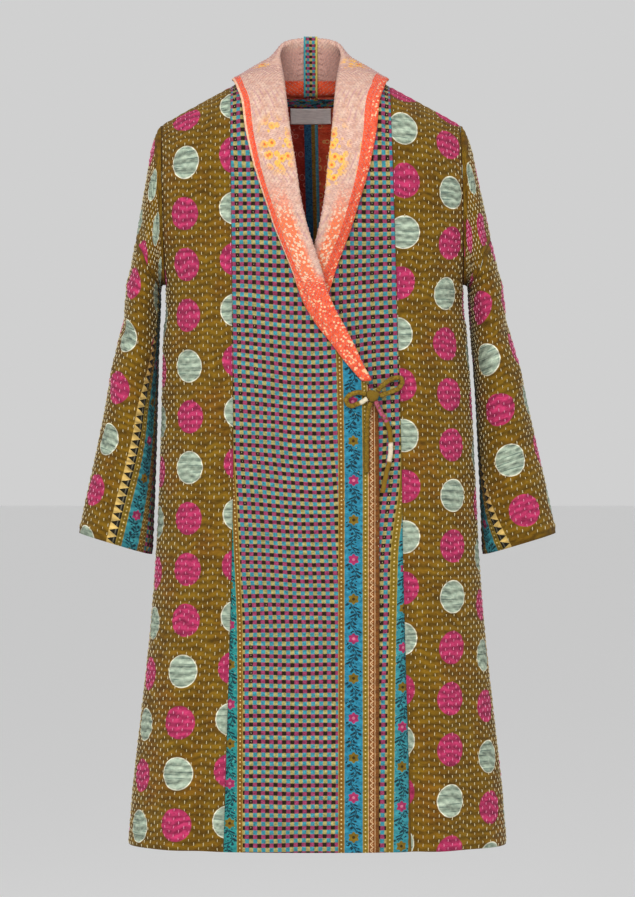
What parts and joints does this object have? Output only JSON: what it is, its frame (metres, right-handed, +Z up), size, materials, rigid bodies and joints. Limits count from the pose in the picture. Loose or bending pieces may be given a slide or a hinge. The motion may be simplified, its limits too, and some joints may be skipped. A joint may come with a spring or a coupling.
{
  "type": "quilted wrap coat",
  "caption": "Hand-quilted wrap coat with a shawl collar, dropped wide sleeves and a waist tie, filled out as worn and open at neck, cuffs and hem",
  "frame": {"origin": "between the shoulders, level with the base of the neck at the sides, where the wearer's shoulders carry the coat", "axes": "+Z up, -Y the front, +X the wearer's left"},
  "size_m": [0.6231, 0.286, 1.0558],
  "materials": {
    "dotted_quilt": "olive printed cotton with pink and mint dots, hand quilted in running stitch",
    "check_quilt": "small checked printed cotton with narrow flower borders, hand quilted",
    "collar_quilt": "cream and coral reverse face of the quilt, closely stitched",
    "binding": "printed cotton seam binding",
    "label": "plain white woven tape, bare",
    "tie": "narrow stitched cotton tube, olive with pink and cream lengths"
  },
  "bodies": {
    "root": {"front_right_side": "dotted_quilt", "front_right_centre": "check_quilt", "front_left_side": "dotted_quilt", "front_left_centre": "check_quilt", "back_right": "dotted_quilt", "back_left": "dotted_quilt", "back_seam_binding": "binding", "sleeve_right_upper": "dotted_quilt", "sleeve_right_lower": "dotted_quilt", "sleeve_left_upper": "dotted_quilt", "sleeve_left_lower": "dotted_quilt", "collar_right": "collar_quilt", "collar_left": "collar_quilt", "collar_seam_strip": "check_quilt", "neck_binding": "binding", "label": "label", "tie_knot": "tie", "tie_loop_right": "tie", "tie_loop_left": "tie", "tie_end_left": "tie", "tie_end_right": "tie"}
  },
  "joints": []
}
